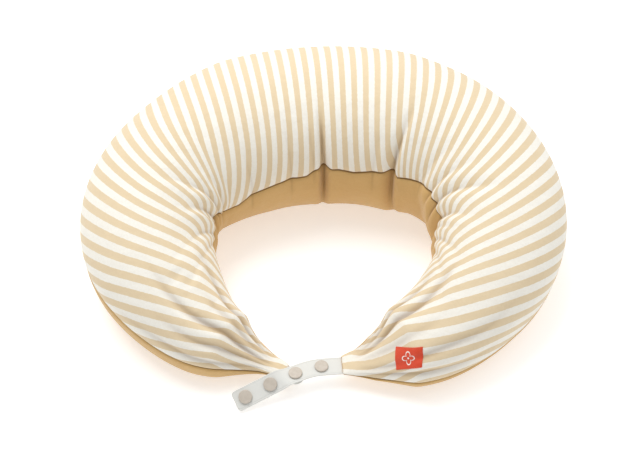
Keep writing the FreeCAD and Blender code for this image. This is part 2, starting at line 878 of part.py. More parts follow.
def make_strap():
    """The strap: level where it is closed, then rolled forward and drooping to its free end."""
    sections = [strap_section(distance) for distance in strap_stations()]
    strap = Part.makeLoft(sections, True, True)
    radius = size("prong_radius") + size("prong_clearance")
    for number in range(1, int(size("snap_count")) + 1):
        strap = strap.cut(axis_cylinder(snap_top(number), radius, 2 * size("tape_wall")))
    point, along, across, normal = strap_frame(strap_length())
    tool = strap_corner_tool(Placement(point, Rotation(along, across, normal, "ZXY")))
    shape_part("strap_tape", strap.cut(tool))


def strap_corner_tool(placement):
    """What is cut off to round the two corners of the strap's free end."""
    radius = size("strap_end_corner")
    half = size("strap_width") / 2
    tall = 4 * size("tape_wall")
    tools = []
    for side in (-1, 1):
        low = half - radius if side > 0 else -half
        block = Part.makeBox(radius, radius, tall, Vector(-radius, low, -tall / 2))
        centre = Vector(-radius, side * (half - radius), -tall / 2)
        tools.append(block.cut(Part.makeCylinder(radius, tall, centre)))
    tool = tools[0].fuse(tools[1])
    tool.Placement = placement
    return tool


def make_tab():
    """The short tab: a flat tape with a round end about the closed snap."""
    body = new_body("tab_tape")
    start = "(sizes.root_stub + sizes.hinge_gap)"
    reach = str(round(tab_reach(), 6))
    half = "sizes.tab_width / 2"
    end = new_sketch(body, "tab_end_outline", "XY_Plane")
    draw_circle(end, reach, half)
    body.Tip = pad(body, end, "tab_end", "sizes.tape_wall")
    behind = new_sketch(body, "tab_trim_outline", "XY_Plane")
    wide = "sizes.tab_width"
    draw_outline(behind, [(f"-{wide}", f"-{wide}"), (start, f"-{wide}"), (start, wide), (f"-{wide}", wide)])
    body.Tip = pocket(body, behind, "tab_trim", "sizes.tape_wall * 2")
    flat = new_sketch(body, "tab_flat_outline", "XY_Plane")
    draw_outline(flat, [(start, f"-{half}"), (reach, f"-{half}"), (reach, half), (start, half)])
    body.Tip = pad(body, flat, "tab_flat", "sizes.tape_wall")
    hole = new_sketch(body, "tab_hole_outline", "XY_Plane")
    draw_circle(hole, reach, PRONG_HOLE)
    body.Tip = pocket(body, hole, "tab_hole", "sizes.tape_wall * 2")
    way = tab_heading()
    tip = LEFT.tip()[0]
    turn = math.degrees(math.atan2(way.y, way.x))
    body.Placement = Placement(Vector(tip.x, tip.y, tab_level()), Rotation(Vector(0, 0, 1), turn))


# ---------------------------------------------------------------- build, check and write


def check_document():
    """Stop if any object failed, or if a sub-part's shape is empty or broken."""
    for item in document.Objects:
        if "Invalid" in item.State or "Error" in item.State:
            raise RuntimeError(f"{item.Label} failed: {item.State}")
    for part in subparts:
        if part.Shape.isNull() or not part.Shape.isValid():
            raise RuntimeError(f"{part.Label} has no valid shape")
        if part.Shape.Volume <= 0 or not part.Shape.Solids:
            raise RuntimeError(f"{part.Label} holds no solid")


def write_parts():
    """Write each sub-part to a file named after it."""
    os.makedirs("parts", exist_ok=True)
    for part in subparts:
        part.Shape.exportStep(os.path.join("parts", part.Label + ".step"))
        print(part.Label, len(part.Shape.Solids), "solid,", round(part.Shape.Volume / 1000, 3), "cm3")


make_cover()
make_filling()
make_label()
make_zip_tapes()
make_slider()
make_pull()
make_roots()
make_strap()
make_strap_snaps()
make_tab()
make_tab_snap()
document.recompute()
check_document()
write_parts()
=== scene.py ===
# %% [markdown]
# # A nursing pillow closed into a ring
# The pillow is a stuffed crescent of striped cotton jersey over a plain tan underside. Its two thin
# tails are pulled together by a strap with snaps, so the cloth is stretched round the outside of the
# ring and falls into folds on the inside. This lesson draws the stuffed cover as one tube and creases
# its inner side with a cloth simulation. The strap, the tab, the label, the stitching and the
# finishes are made one by one.

import math

import bmesh
import bpy
import numpy as np
from mathutils import Matrix, Vector
from mathutils.bvhtree import BVHTree


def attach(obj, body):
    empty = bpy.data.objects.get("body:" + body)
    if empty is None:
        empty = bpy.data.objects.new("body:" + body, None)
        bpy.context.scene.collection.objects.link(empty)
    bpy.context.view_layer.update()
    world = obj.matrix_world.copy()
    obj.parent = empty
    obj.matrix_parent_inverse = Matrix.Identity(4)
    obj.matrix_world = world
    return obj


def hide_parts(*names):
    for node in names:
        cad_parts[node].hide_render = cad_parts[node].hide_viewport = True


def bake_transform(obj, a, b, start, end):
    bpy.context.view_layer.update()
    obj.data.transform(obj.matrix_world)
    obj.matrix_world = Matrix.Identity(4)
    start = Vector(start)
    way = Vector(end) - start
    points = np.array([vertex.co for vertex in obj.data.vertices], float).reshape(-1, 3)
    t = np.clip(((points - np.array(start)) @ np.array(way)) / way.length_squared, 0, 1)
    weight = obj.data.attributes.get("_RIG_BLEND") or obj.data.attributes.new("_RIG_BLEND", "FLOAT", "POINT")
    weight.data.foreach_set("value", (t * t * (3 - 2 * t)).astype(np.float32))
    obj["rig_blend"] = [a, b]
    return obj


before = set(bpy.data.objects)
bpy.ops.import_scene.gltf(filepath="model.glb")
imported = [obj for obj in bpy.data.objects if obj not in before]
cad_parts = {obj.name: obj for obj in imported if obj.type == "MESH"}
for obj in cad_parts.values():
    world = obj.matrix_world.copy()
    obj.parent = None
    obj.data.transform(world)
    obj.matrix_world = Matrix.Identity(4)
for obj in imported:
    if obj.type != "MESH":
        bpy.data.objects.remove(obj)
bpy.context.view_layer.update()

# %% [markdown]
# ## The tube's centre line
# A stuffed crescent follows a smooth line. Three tangent arcs on each side of the back centre are
# enough to draw it: a wide one across the back, a tight one round the side and a wide one again
# along the tail. Each arm is walked from the back centre to the tip of its tail.

# %% Follow each arm
BACK_CENTRE = Vector((0.0035, 0.1372))
BACK_RADIUS = 0.267
BEND_LENGTH = 0.100
LIFT_LENGTH = 0.125
TIP_HALF_HEIGHT = 0.004


def smooth(share):
    """An S-shaped step from 0 to 1."""
    share = min(max(share, 0.0), 1.0)
    return share * share * (3 - 2 * share)


class Arm:
    """Half of the ring, with its arcs, the level of its tip and the lean of its pulled tail."""

    def __init__(self, sign, arcs, tip_level, bend, bluntness):
        self.sign = sign
        self.arcs = [(radius, math.radians(angle)) for radius, angle in arcs]
        self.length = sum(radius * angle for radius, angle in self.arcs)
        self.tip_level = tip_level
        self.bend = bend
        self.bluntness = bluntness

    def at(self, run):
        """Centre, outward and forward directions after a run along the centre line."""
        back = min(max((self.length - run) / BEND_LENGTH, 0.0), 1.0)
        lean = self.bend * back * (1 - back) ** 2 * 27 / 4
        x, y, turn = 0.0, BACK_CENTRE.y, 0.0
        for radius, angle in self.arcs:
            step = min(max(run, 0.0) / radius, angle)
            x += radius * (math.sin(turn + step) - math.sin(turn))
            y += radius * (math.cos(turn + step) - math.cos(turn))
            turn += step
            run -= radius * angle
        outward = Vector((self.sign * math.sin(turn), math.cos(turn), 0))
        forward = Vector((self.sign * math.cos(turn), -math.sin(turn), 0))
        return Vector((BACK_CENTRE.x + self.sign * x, y, 0)) - outward * lean, outward, forward


STRAP_LEVEL = 0.023
TAB_LEVEL = 0.0173
LEFT = Arm(-1, [(BACK_RADIUS, 42.0), (0.129, 75.4), (0.231, 47.6)], TAB_LEVEL, 0.008, 0.67)
RIGHT = Arm(1, [(BACK_RADIUS, 30.5), (0.150, 106.5), (0.2356, 43.0)], STRAP_LEVEL, 0.002, 0.61)
print(f"arms: {LEFT.length:.3f} m and {RIGHT.length:.3f} m along the centre line")

# %% [markdown]
# ## The section of the tube
# The top is an ellipse and the underside a squarer curve, flat where it rests. The section shrinks
# along the arm and is nipped in over its last few centimetres, where the cloth is gathered. Points
# are spread evenly along the section's own length, because a cloth simulation needs cells of about
# one size.

# %% Size and draw one section
HALF_WIDTH = 0.1045
CROWN = 0.0915
BELLY = 0.105
SQUARENESS = 2.87
TAPER_START = 0.098
SHOULDER = 1.2
TIP_HALF_WIDTH = 0.012
NIP_LENGTH = 0.070
NIP_SHARPNESS = 1.3
FINE = 360


def girth(arm, run):
    """Half width, crown, belly, height of the widest line and fullness after a run."""
    share = min(max((run - TAPER_START) / (arm.length - TAPER_START), 0.0), 1.0)
    fullness = (1 - share ** SHOULDER) ** arm.bluntness
    fullness *= min(max((arm.length - run) / NIP_LENGTH, 0.0), 1.0) ** NIP_SHARPNESS
    half = TIP_HALF_WIDTH + (HALF_WIDTH - TIP_HALF_WIDTH) * fullness
    crown = TIP_HALF_HEIGHT + (CROWN - TIP_HALF_HEIGHT) * fullness
    belly = TIP_HALF_HEIGHT + (BELLY - TIP_HALF_HEIGHT) * fullness
    lift = (arm.tip_level - TIP_HALF_HEIGHT) * smooth(1 - (arm.length - run) / LIFT_LENGTH)
    return half, crown, belly, belly + lift, fullness


def section_curve(arm, run):
    """Offsets, heights and running length of a section, from the outer side over the top and back."""
    half, crown, belly, level, fullness = girth(arm, run)
    turn = np.linspace(0, 2 * math.pi, FINE + 1)
    cos, sin = np.cos(turn), np.sin(turn)
    power = 2 / SQUARENESS
    under = sin < -1e-9
    offset = np.where(under, np.sign(cos) * np.abs(cos) ** power, cos) * half
    height = np.where(under, -np.abs(sin) ** power * (belly + 0.002 * fullness), sin * crown) + level
    height = np.maximum(height, 0.0)
    length = np.concatenate([[0], np.cumsum(np.hypot(np.diff(offset), np.diff(height)))])
    return offset, height, length


print("girth at the back:", round(section_curve(LEFT, 0)[2][-1], 3), "m")

# %% [markdown]
# ## Seams and folds of the cover
# The two panels meet along an outer and an inner seam. Neither stays level: the right arm is rolled
# so that its outer seam goes underneath, and on the inside each fold tugs the seam up a little. The
# folds themselves are where the short inner side has too much cloth. They are laid in one by one as
# narrow grooves, since their places make this pillow what it is, and the simulation then adds small
# creases between them.

# %% Place the seams and the folds
# Signed run from the back centre (left is negative), and how far the seam lies above the widest line.
INNER_SEAM = [(-0.34, 0.0), (-0.275, 0.012), (-0.24, -0.006), (-0.18, -0.015), (-0.14, -0.009),
              (-0.067, -0.006), (-0.035, -0.006), (-0.015, 0.000), (0.0, 0.000), (0.03, 0.003), (0.06, 0.0),
              (0.10, 0.004),
              (0.13, 0.007), (0.15, 0.006), (0.21, 0.016), (0.27, 0.024), (0.30, 0.022), (0.36, 0.0)]
# The same for the outer seam, downwards.
OUTER_SEAM = [(-0.56, 0.002), (-0.52, 0.005), (-0.40, 0.008), (-0.28, 0.006), (-0.17, 0.0), (0.17, 0.0),
              (0.30, 0.016), (0.42, 0.028), (0.54, 0.018), (0.60, 0.002)]
# Folds that start at the inner seam: signed run, depth, width, reach up, lean up, reach down.
FOLDS = [
    (-0.285, 0.012, 0.013, 0.085, -0.55, 0.10), (-0.262, 0.008, 0.009, 0.115, -0.20, 0.04),
    (-0.325, 0.007, 0.012, 0.095, -0.85, 0.04), (-0.235, 0.006, 0.009, 0.080, 0.05, 0.03),
    (-0.305, 0.006, 0.008, 0.070, -0.30, 0.03), (-0.350, 0.005, 0.009, 0.070, -1.10, 0.03),
    (-0.150, 0.003, 0.014, 0.090, 0.00, 0.04), (-0.067, 0.003, 0.012, 0.110, 0.00, 0.05),
    (0.001, 0.018, 0.007, 0.120, -0.05, 0.14), (-0.018, 0.004, 0.010, 0.110, -0.10, 0.03),
    (0.134, 0.017, 0.008, 0.120, 0.10, 0.14), (0.100, 0.003, 0.012, 0.070, 0.05, 0.05),
    (0.325, 0.016, 0.014, 0.095, 0.50, 0.10), (0.298, 0.010, 0.009, 0.120, 0.25, 0.05),
    (0.365, 0.008, 0.012, 0.085, 0.90, 0.05), (0.270, 0.007, 0.009, 0.090, 0.10, 0.03),
    (0.345, 0.007, 0.008, 0.070, 0.70, 0.04), (0.392, 0.006, 0.009, 0.080, 1.10, 0.03),
    (0.230, 0.003, 0.014, 0.090, 0.05, 0.03),
]
# Long folds of the tails: side, place round the section (0 outer seam, 1 inner seam), depth, reach.
PLEATS = [
    (-1, 0.10, 0.0050, 0.20), (-1, 0.26, 0.0070, 0.15), (-1, 0.43, 0.0090, 0.19), (-1, 0.60, 0.0055, 0.14),
    (-1, 0.76, 0.0080, 0.20), (-1, 0.90, 0.0045, 0.13),
    (1, 0.12, 0.0060, 0.17), (1, 0.28, 0.0055, 0.20), (1, 0.46, 0.0045, 0.13), (1, 0.66, 0.0100, 0.19),
    (1, 0.80, 0.0085, 0.17), (1, 0.92, 0.0060, 0.13),
]
PLEAT_WIDTH = 0.006
# How far the inner side is tucked under at the floor: signed run, shift outwards.
TUCK = [(-0.42, 0.0), (-0.33, 0.010), (-0.26, 0.024), (-0.20, 0.022), (-0.10, 0.012), (0.0, 0.006),
        (0.12, 0.006), (0.17, 0.016), (0.24, 0.016), (0.32, 0.008), (0.42, 0.0)]
# How far the crowded inner side bulges into the opening, at a signed run.
BULGE = [(-0.47, 0.0), (-0.40, 0.008), (-0.33, 0.014), (-0.28, 0.013), (-0.24, 0.005), (-0.20, 0.0),
         (0.24, 0.0), (0.29, 0.006), (0.36, 0.008), (0.42, 0.0)]
# How far the right tail swells on its outer side and on its inner side, near the tip.
OUTER_PUFF = [(0.42, 0.0), (0.48, 0.005), (0.53, 0.010), (0.565, 0.009), (0.585, 0.004), (0.598, 0.0)]
INNER_PUFF = [(0.47, 0.0), (0.53, 0.004), (0.56, 0.008), (0.585, 0.004), (0.598, 0.0)]
# Widths of the painted shade in the inner folds and in the tails' long folds.
CREASE_WIDTH = 0.0022
PLEAT_SHADE_WIDTH = 0.0042


def between(table, at):
    """Read a table of (place, value) pairs at a place between them."""
    return float(np.interp(at, [row[0] for row in table], [row[1] for row in table]))


def fold_depth(signed, above):
    """Depth of the inner folds at a signed run and a height above the inner seam."""
    depth = 0.0
    for run, deep, width, up, lean, down in FOLDS:
        reach = up if above > 0 else down
        fade = smooth(1 - abs(above) / reach)
        path = run + lean * max(above, 0.0)
        spread = width * (0.45 + 0.55 * fade)
        depth += deep * fade * math.exp(-((abs(signed - path) / spread) ** 1.4))
    return depth


def crease_shade(signed, above):
    """How close a point is to the bottom of a deep inner fold, from 0 to 1: the amount of painted shade
    there.
    """
    shade = 0.0
    for run, deep, width, up, lean, down in FOLDS:
        fade = smooth(1.25 * (1 - abs(above) / ((up if above > 0 else down) * 0.85)))
        gap = abs(signed - run - lean * max(above, 0.0))
        shade = max(shade, min(1.0, deep / 0.012) * fade * math.exp(-((gap / CREASE_WIDTH) ** 2)))
    return shade


def pleat_depth(arm, run, share, size):
    """Depth of the tails' long folds and the amount of painted shade in them, at a share of the way round
    the top panel.
    """
    depth, shade = 0.0, 0.0
    for sign, place, deep, reach in PLEATS:
        back = (arm.length - run) / reach
        if sign == arm.sign and back < 1:
            fade = smooth((1 - back) * 1.6) * min(1.0, size / 0.030)
            fade *= smooth((arm.length - run - 0.008) / 0.025)
            gap = (share - place - 0.012 * math.sin(run * 60 + place * 9)) * size * math.pi
            depth += deep * fade * math.exp(-((abs(gap) / PLEAT_WIDTH) ** 1.3))
            shade = max(shade, deep / 0.010 * fade * math.exp(-((gap / PLEAT_SHADE_WIDTH) ** 2)))
    return depth, shade


print(len(FOLDS), "folds at the inner seam and", len(PLEATS), "long folds on the tails")

# %% [markdown]
# ## The cover as one tube
# A flat grid is the easiest cloth to steer: one direction follows the arms and the other goes round
# the section. Every vertex is moved to its place on the tube, and the two long edges are welded at
# the outer seam. The grid also gives the cloth its own coordinates. The cover was cut from striped
# jersey as a flat crescent with the stripes running straight across it, so each point's place on
# that flat crescent is kept as its UV: the stripes then fan and lean round the ring as real ones do.

# %% Map the grid onto the tube
ROWS = 320
TOP_COLUMNS = 60
COLUMNS = 120
FLAT_RADIUS = 0.430
TIP_WALL = 0.0016
TANGENT_STEP = 0.004
PINCH_LENGTH = 0.012


def row_place(row):
    """Arm, run along it and signed run of a row of the grid."""
    signed = -LEFT.length + (LEFT.length + RIGHT.length) * row / ROWS
    arm = LEFT if signed < 0 else RIGHT
    return arm, abs(signed), signed


def row_points(row):
    """Positions, cloth coordinates and seam distances of one row of the grid."""
    arm, run, signed = row_place(row)
    centre, outward, forward = arm.at(run)
    offset, height, length = section_curve(arm, run)
    total = length[-1]
    widest = length[FINE // 2]
    size = girth(arm, run)[0]
    scale = min(1.0, size / 0.060)
    start = -between(OUTER_SEAM, signed) * scale
    end = widest - between(INNER_SEAM, signed) * scale
    pinch = smooth(1 - (arm.length - run) / PINCH_LENGTH)
    points, cloth, gaps = [], [], []
    for column in range(COLUMNS + 1):
        if column <= TOP_COLUMNS:
            along = start + (end - start) * column / TOP_COLUMNS
        else:
            along = end + (total + start - end) * (column - TOP_COLUMNS) / (COLUMNS - TOP_COLUMNS)
        wrapped = along % total
        x, z = np.interp(wrapped, length, offset), np.interp(wrapped, length, height)
        ahead, behind = (wrapped + TANGENT_STEP) % total, (wrapped - TANGENT_STEP) % total
        tangent = Vector((np.interp(ahead, length, offset) - np.interp(behind, length, offset),
                          np.interp(ahead, length, height) - np.interp(behind, length, height)))
        tangent = tangent.normalized()
        depth = fold_depth(signed, end - along)
        # How much painted shade falls into the fold bottoms at this point.
        shade = crease_shade(signed, end - along)
        if column <= TOP_COLUMNS:
            pleat, pleat_shade = pleat_depth(arm, run, column / TOP_COLUMNS, size)
            depth += pleat
            shade = max(shade, pleat_shade)
        depth = min(depth, size * 0.35)
        x -= tangent.y * depth
        z += tangent.x * depth
        if x > 0:
            x += between(OUTER_PUFF, signed) * smooth(x / size * 1.3)
        if x < 0:
            x -= between(INNER_PUFF, signed) * smooth(-x / size * 1.3)
            x -= between(BULGE, signed) * smooth(-x / size * 1.3)
            x += between(TUCK, signed) * max(0.0, 1 - z / BELLY) ** 1.6 * smooth(-x / size * 1.6)
        middle = arm.tip_level
        z += (middle + math.copysign(TIP_WALL, z - middle) - z) * pinch * 0.8
        point = centre + outward * float(x)
        points.append(Vector((point.x, point.y, max(float(z), 0.0))))
        cloth.append((signed, widest / 2 - along))
        gap = min(abs(along - start), abs(along - end), abs(total + start - along))
        hold = hold_weight(arm, run, along - start, total, depth)
        gaps.append((gap, hold, loose_weight(x / size), size, shade))
    return points, cloth, gaps


def hold_weight(arm, run, from_outer, total, depth):
    """How firmly a point is held in the simulation: at the tips, by the zip and in the folds."""
    tip = smooth(1 - (arm.length - run - 0.004) / 0.014)
    outer = min(abs(from_outer), abs(total - from_outer))
    zipped = smooth(1 - (outer - 0.016) / 0.020) * smooth((0.150 - run) / 0.030)
    return max(tip, zipped, 0.9 * smooth(depth / 0.007))


def loose_weight(inward):
    """How much a point belongs to the inner side, where the cloth has too much length."""
    return smooth(0.5 - 0.5 * inward) ** 2


def flat_cloth(signed, across):
    """Where a point was on the flat crescent: across the stripes, and along them."""
    angle = signed / FLAT_RADIUS
    return (FLAT_RADIUS + across) * math.sin(angle), (FLAT_RADIUS + across) * math.cos(angle)


def make_tube():
    """The whole cover as one welded tube, with its cloth coordinates and seam distance."""
    rows = [row_points(row) for row in range(ROWS + 1)]
    bm = bmesh.new()
    bmesh.ops.create_grid(bm, x_segments=ROWS, y_segments=COLUMNS, size=1.0)
    uv = bm.loops.layers.uv.new("cloth")
    # The last kept value is the painted shade of the folds.
    kept = [bm.verts.layers.float.new(name) for name in ("seam_gap", "hold", "loose", "room", "painted_crease_shade")]
    column_of = bm.verts.layers.float.new("column")
    for face in bm.faces:
        places = [(round((v.co.x + 1) / 2 * ROWS), round((v.co.y + 1) / 2 * COLUMNS)) for v in face.verts]
        for loop, (row, column) in zip(face.loops, places):
            loop[uv].uv = flat_cloth(*rows[row][1][column])
        face.material_index = 0 if min(column for row, column in places) < TOP_COLUMNS else 1
    for vert in bm.verts:
        row, column = round((vert.co.x + 1) / 2 * ROWS), round((vert.co.y + 1) / 2 * COLUMNS)
        for place, value in zip(kept, rows[row][2][column]):
            vert[place] = float(value)
        vert[column_of] = column
        vert.co = rows[row][0][column]
    bmesh.ops.remove_doubles(bm, verts=bm.verts, dist=1e-6)
    bmesh.ops.recalc_face_normals(bm, faces=bm.faces)
    mesh = bpy.data.meshes.new("tube")
    bm.to_mesh(mesh)
    bm.free()
    tube = bpy.data.objects.new("tube", mesh)
    bpy.context.scene.collection.objects.link(tube)
    return tube


tube = make_tube()
print("tube:", len(tube.data.vertices), "vertices")

# %% [markdown]
# ## The camera
# The camera comes early, so that every piece can be judged from where it will be seen: a little
# left of the middle, looking down at about forty-five degrees, with a slightly long lens.

# %% Place the camera
CAMERA_PLACE = Vector((-0.0681, -0.8068, 0.8831))
CAMERA_AIM = Vector((-0.0041, -0.0008, 0.040))


def make_camera():
    """A camera that looks down at the front of the ring."""
    data = bpy.data.cameras.new("camera")
    data.lens, data.sensor_width = 51.4, 36
    camera = bpy.data.objects.new("camera", data)
    bpy.context.scene.collection.objects.link(camera)
    camera.location = CAMERA_PLACE
    camera.rotation_euler = (CAMERA_AIM - CAMERA_PLACE).to_track_quat("-Z", "Y").to_euler()
    bpy.context.scene.camera = camera


make_camera()
print("camera at", tuple(round(value, 3) for value in CAMERA_PLACE))

# %% [markdown]
# ## Stuffing the cover
# A tube drawn from its sections alone looks like a balloon. Real jersey is pressed outwards by the
# filling and wrinkles wherever it has too much length. Blender's cloth simulation can do both:
# pressure pushes on the tube, and the cloth near the inner seam is let out by a few percent, so it has
# to buckle between the folds. The tips, the zip's edges and the bottoms of the folds are held, and
# twenty frames are enough. With these settings the outer side was drawn in by a few millimetres rather
# than swelled, so the moves are faded out towards it: the taut outer side keeps the shape it was drawn
# with, and the inner side keeps its creases. No point travels further than a cap.

# %% Simulate the stuffed cloth
TRAVEL_CAP = 0.009
LET_OUT = -0.09
SWELL_ALLOWANCE = 0.0010
ZIP_HALF = 0.125
SIM_FRAMES = 20
CLOTH_MASS = 0.0006
PRESSURE = 30.0


def weigh(tube, name, weights):
    """A vertex group from one weight per vertex."""
    group = tube.vertex_groups.new(name=name)
    for index, weight in enumerate(weights):
        group.add([index], float(weight), "REPLACE")
    return group


def coordinates(mesh):
    """The vertices of a mesh as an array."""
    place = np.empty(len(mesh.vertices) * 3)
    mesh.vertices.foreach_get("co", place)
    return place.reshape(-1, 3)


def normals_of(mesh):
    """The vertex normals of a mesh as an array."""
    normal = np.empty(len(mesh.vertices) * 3)
    mesh.vertex_normals.foreach_get("vector", normal)
    return normal.reshape(-1, 3)


def layer(mesh, name):
    """One value per vertex from a named attribute."""
    values = np.empty(len(mesh.vertices))
    mesh.attributes[name].data.foreach_get("value", values)
    return values


def stuff(tube):
    """Run the cloth, then cap its moves and fade them out towards the outer side."""
    mesh = tube.data
    rest = coordinates(mesh)
    start = rest - normals_of(mesh) * SWELL_ALLOWANCE * (1 - layer(mesh, "hold"))[:, None]
    mesh.vertices.foreach_set("co", start.ravel())
    weigh(tube, "hold", layer(mesh, "hold"))
    weigh(tube, "loose", layer(mesh, "loose"))
    cloth = tube.modifiers.new("cloth", "CLOTH")
    settings = cloth.settings
    settings.quality = 5
    settings.mass = CLOTH_MASS
    settings.tension_stiffness = 15
    settings.compression_stiffness = 15
    settings.shear_stiffness = 6
    settings.bending_stiffness = 0.6
    settings.use_pressure = True
    settings.uniform_pressure_force = PRESSURE
    settings.vertex_group_mass = "hold"
    settings.vertex_group_shrink = "loose"
    settings.shrink_min, settings.shrink_max = 0.0, LET_OUT
    settings.effector_weights.gravity = 0.0
    cloth.point_cache.frame_start, cloth.point_cache.frame_end = 1, SIM_FRAMES
    for step in range(1, SIM_FRAMES + 1):
        bpy.context.scene.frame_set(step)
    shaped = tube.evaluated_get(bpy.context.evaluated_depsgraph_get())
    move = coordinates(shaped.data) - rest
    tube.modifiers.remove(cloth)
    tube.vertex_groups.clear()
    bpy.context.scene.frame_set(1)
    travel = np.linalg.norm(move, axis=1, keepdims=True)
    print("the cloth moved", round(float(travel.mean()) * 1000, 2), "mm on average")
    move *= np.minimum(1.0, TRAVEL_CAP / np.maximum(travel, 1e-9))
    move *= np.minimum(1.0, 3 * layer(mesh, "loose"))[:, None]
    place = rest + move
    place[:, 2] = np.maximum(place[:, 2], 0.0)
    mesh.vertices.foreach_set("co", place.ravel())
    mesh.update()


stuff(tube)

# %% [markdown]
# ## Two panels, a seam and the zip's opening
# The cover is cut into its striped top and its plain underside along the seams. Each panel's edge is
# drawn in and turned inwards, as a seam allowance is, so the seam shows as a real groove. At the
# back the two edges part by a few millimetres to leave room for the zip.

# %% Cut the panels
SEAM_PINCH = 0.0016
ALLOWANCE = 0.0045
ZIP_WINDOW = 0.0036
ZIP_END_FADE = 0.006
ZIP_RADIUS = BACK_RADIUS + HALF_WIDTH


def zip_share(place):
    """How far a point of the outer back seam belongs to the zip's opening."""
    turn = abs(math.atan2(place.x - BACK_CENTRE.x, place.y - BACK_CENTRE.y + BACK_RADIUS))
    return smooth((ZIP_HALF + 0.004 - turn * ZIP_RADIUS) / ZIP_END_FADE)


def make_panel(name, index):
    """One panel of the cover, with its edges turned in."""
    bm = bmesh.new()
    bm.from_mesh(tube.data)
    column = bm.verts.layers.float["column"]
    bm.normal_update()
    for vert in bm.verts:
        if round(vert[column]) in (0, TOP_COLUMNS, COLUMNS):
            outer = round(vert[column]) != TOP_COLUMNS and vert.co.y > 0.1
            share = zip_share(vert.co) if outer else 0.0
            vert.co -= vert.normal * SEAM_PINCH * (1 - share)
            if share > 0:
                level = BELLY + (ZIP_WINDOW if index == 0 else -ZIP_WINDOW)
                vert.co.z += (level - vert.co.z) * share
    inward = {vert.index: -vert.normal.copy() for vert in bm.verts}
    bm.verts.ensure_lookup_table()
    mark = bm.verts.layers.int.new("mark")
    for vert in bm.verts:
        vert[mark] = vert.index
    others = [face for face in bm.faces if face.material_index != index]
    bmesh.ops.delete(bm, geom=others, context="FACES")
    rim = [edge for edge in bm.edges if edge.is_boundary]
    lip = bmesh.ops.extrude_edge_only(bm, edges=rim)["geom"]
    for vert in lip:
        if isinstance(vert, bmesh.types.BMVert):
            vert.co += inward[vert[mark]] * ALLOWANCE * min(1.0, 0.2 + vert.co.z / 0.03)
    for face in bm.faces:
        face.material_index = 0
        face.smooth = True
    mesh = bpy.data.meshes.new(name)
    bm.to_mesh(mesh)
    bm.free()
    return add_piece(name, mesh)


def add_piece(name, mesh):
    """Put a mesh into the scene as a piece."""
    piece = bpy.data.objects.new(name, mesh)
    bpy.context.scene.collection.objects.link(piece)
    return piece


def add_subdivision(piece):
    """One level of subdivision, the same in the view and in the render."""
    round_off = piece.modifiers.new("subdivision", "SUBSURF")
    round_off.levels = round_off.render_levels = 1


cover_top_panel = make_panel("cover_top_panel", 0)
cover_bottom_panel = make_panel("cover_bottom_panel", 1)
for panel, node_name, slot_name in ((cover_top_panel, "cover_top", "striped_jersey"),
                                    (cover_bottom_panel, "cover_bottom", "plain_jersey")):
    add_subdivision(panel)
    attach(panel, "pillow")
    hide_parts(node_name)
    print(panel.name, len(panel.data.polygons), "faces")

# %% [markdown]
# ## The casing and the filling
# Inside the cover is a sewn bag with fibre in it. Nobody sees them, but they keep the cover from
# being empty when it is cut open or looked into through the zip. Both are the same tube, drawn in.

# %% Make the casing and the filling
def inner_tube(name, inset, body_node):
    """The cover's tube drawn in by an inset, for a layer that lies inside it."""
    mesh = tube.data.copy()
    mesh.materials.clear()
    size_here = np.minimum(1.0, layer(mesh, "room") / 0.045)
    place = coordinates(mesh) - normals_of(mesh) * (inset * size_here)[:, None]
    mesh.vertices.foreach_set("co", place.ravel())
    mesh.polygons.foreach_set("material_index", np.zeros(len(mesh.polygons), dtype=np.int32))
    mesh.name = name
    mesh.shade_smooth()
    piece = add_piece(name, mesh)
    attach(piece, "pillow")
    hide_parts(body_node)
    return piece


casing = inner_tube("casing_bag", 0.0085, "inner_casing")
filling = inner_tube("fibre_filling", 0.0110, "fibre_fill")
bpy.data.objects.remove(tube)
print("casing and filling made")

# %% [markdown]
# ## The closing strap
# The strap is one length of soft webbing. It leaves the tip of the right tail, bends towards the
# front and droops over the left tail. A grid is laid along that path, its far corners are rounded
# off, and a wall and a soft edge are added, because a woven tape is thin but never knife-sharp.

# %% Lay the strap
STRAP_LENGTH = 0.129
STRAP_WIDTH = 0.023
STRAP_ROOT = 0.0135
TAPE_WALL = 0.0015
END_CORNER = 0.004
BEND_START, STRAP_BEND = 0.015, 0.035
DROP_START, DROP_RUN = 0.0618, 0.0154
HEADING, DROP, ROLL = math.radians(19), math.radians(13), math.radians(28)
PATH_STEP = 0.0005


def strap_way(distance, heading):
    """Direction of the strap at a distance from the tip of the tail."""
    turn = heading + HEADING * smooth((distance - BEND_START) / STRAP_BEND)
    pitch = DROP * smooth((distance - DROP_START) / DROP_RUN)
    return Vector((math.cos(pitch) * math.cos(turn), math.cos(pitch) * math.sin(turn), -math.sin(pitch)))


def strap_frames(distances):
    """Middle and sideways direction of the strap at rising distances."""
    tip, outward, forward = RIGHT.at(RIGHT.length)
    heading = math.atan2(forward.y, forward.x)
    point, done = Vector((tip.x, tip.y, STRAP_LEVEL)), 0.0
    frames = []
    for distance in distances:
        if distance < 0:
            along = Vector((math.cos(heading), math.sin(heading), 0))
            frames.append((point + along * distance, Vector((0, 0, 1)).cross(along)))
            continue
        steps = max(1, math.ceil((distance - done) / PATH_STEP))
        for step in range(steps):
            middle = done + (distance - done) * (step + 0.5) / steps
            point = point + strap_way(middle, heading) * ((distance - done) / steps)
        done = distance
        along = strap_way(distance, heading)
        across = Vector((0, 0, 1)).cross(along).normalized()
        roll = ROLL * smooth((distance - DROP_START) / DROP_RUN)
        frames.append((point.copy(), Matrix.Rotation(-roll, 3, along) @ across))
    return frames


